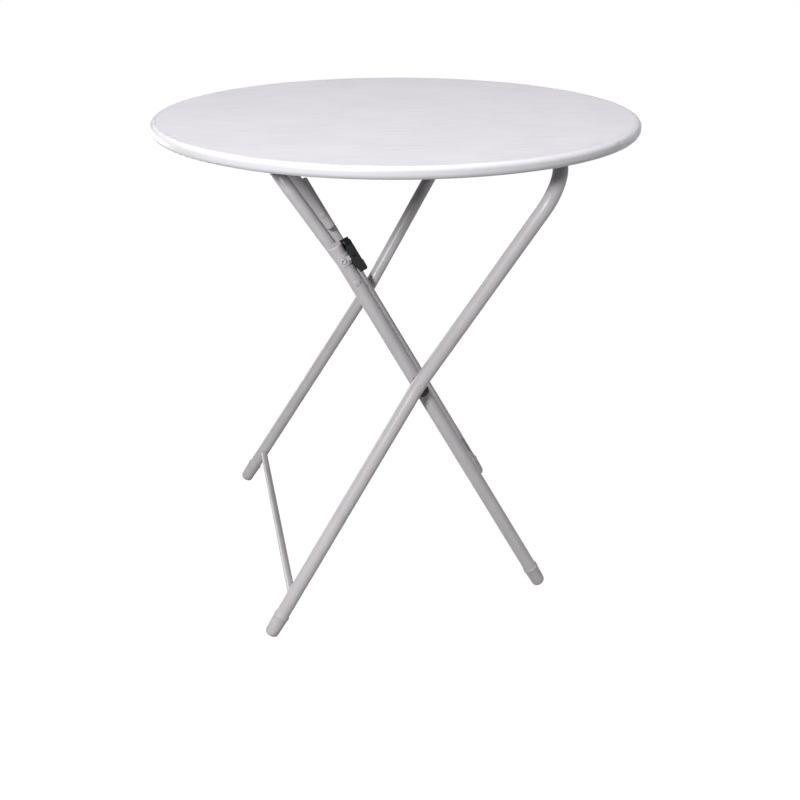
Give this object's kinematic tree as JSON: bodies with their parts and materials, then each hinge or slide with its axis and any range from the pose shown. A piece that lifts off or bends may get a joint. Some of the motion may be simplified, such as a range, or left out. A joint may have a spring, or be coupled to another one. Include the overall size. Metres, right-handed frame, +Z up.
{
  "type": "folding table",
  "caption": "Round-topped folding table on crossed tube legs that swing flat under the board, with a safety latch at the knee.",
  "frame": {"origin": "on the floor under the middle of the round top, with the table standing open", "axes": "+Z up, X along the way the legs scissor with the outer frame's hinge towards +X, Y across from the latch's side to the other side"},
  "size_m": [0.7499, 0.75, 0.75],
  "materials": {
    "white_laminate": "white melamine laminate on board, satin",
    "white_plastic": "satin",
    "grey_coated_steel": "satin powder coat",
    "grey_plastic": "matte moulded",
    "pale_plastic": "matte moulded",
    "black_plastic": "matte moulded",
    "zinc_steel": "bright zinc plate",
    "spring_steel": "drawn wire"
  },
  "bodies": {
    "top": {"top_board": "white_laminate", "edge_band": "white_plastic", "frame_saddle_near": "black_plastic", "frame_saddle_far": "black_plastic", "strut_saddle_near": "black_plastic", "strut_saddle_far": "black_plastic", "saddle_screws": "zinc_steel"},
    "outer_frame": {"outer_frame_tube": "grey_coated_steel", "outer_cross_rod": "grey_coated_steel", "outer_foot_near": "grey_plastic", "outer_foot_far": "grey_plastic", "cross_rivet_near": "grey_coated_steel", "cross_rivet_far": "grey_coated_steel"},
    "strut": {"strut_tube": "grey_coated_steel", "strut_plug_near": "grey_plastic", "strut_plug_far": "grey_plastic", "knee_rivet_near": "grey_coated_steel", "knee_rivet_far": "grey_coated_steel", "knee_washer_near": "black_plastic", "knee_washer_far": "black_plastic"},
    "inner_frame": {"inner_leg_near": "grey_coated_steel", "inner_leg_far": "grey_coated_steel", "inner_cross_rod": "grey_coated_steel", "inner_foot_near": "grey_plastic", "inner_foot_far": "grey_plastic", "inner_leg_plug_near": "pale_plastic", "inner_leg_plug_far": "pale_plastic", "cross_spacer_near": "black_plastic", "cross_spacer_far": "black_plastic", "cross_rivet_tail_near": "grey_coated_steel", "cross_rivet_tail_far": "grey_coated_steel", "latch_bracket": "grey_coated_steel", "latch_rivet": "grey_coated_steel", "latch_pin": "zinc_steel"},
    "latch": {"latch_lever": "black_plastic", "latch_spring": "spring_steel"}
  },
  "joints": [
    {"name": "top_hinge", "type": "hinge", "parent": "top", "child": "outer_frame", "pos_m": [0.19373, 0, 0.716], "axis": [0, 1, 0], "range_deg": [0, 54.06]},
    {"name": "strut_hinge", "type": "hinge", "parent": "top", "child": "strut", "pos_m": [-0.20938, 0, 0.716], "axis": [0, -1, 0], "range_deg": [0, 54.8]},
    {"name": "knee", "type": "hinge", "parent": "strut", "child": "inner_frame", "pos_m": [-0.09783, 0, 0.54915], "axis": [0, 1, 0], "range_deg": [0, 167]},
    {"name": "latch_pivot", "type": "hinge", "parent": "inner_frame", "child": "latch", "pos_m": [-0.10113, -0.203, 0.59135], "axis": [0, 1, 0], "range_deg": [0, 9], "stiffness_Nm_per_rad": 0.3, "springref_deg": -11.46}
  ],
  "couplings": [
    {"joint": "strut_hinge", "follows": "top_hinge", "ratio": 1.0125},
    {"joint": "knee", "follows": "top_hinge", "ratio": 3.0885}
  ]
}
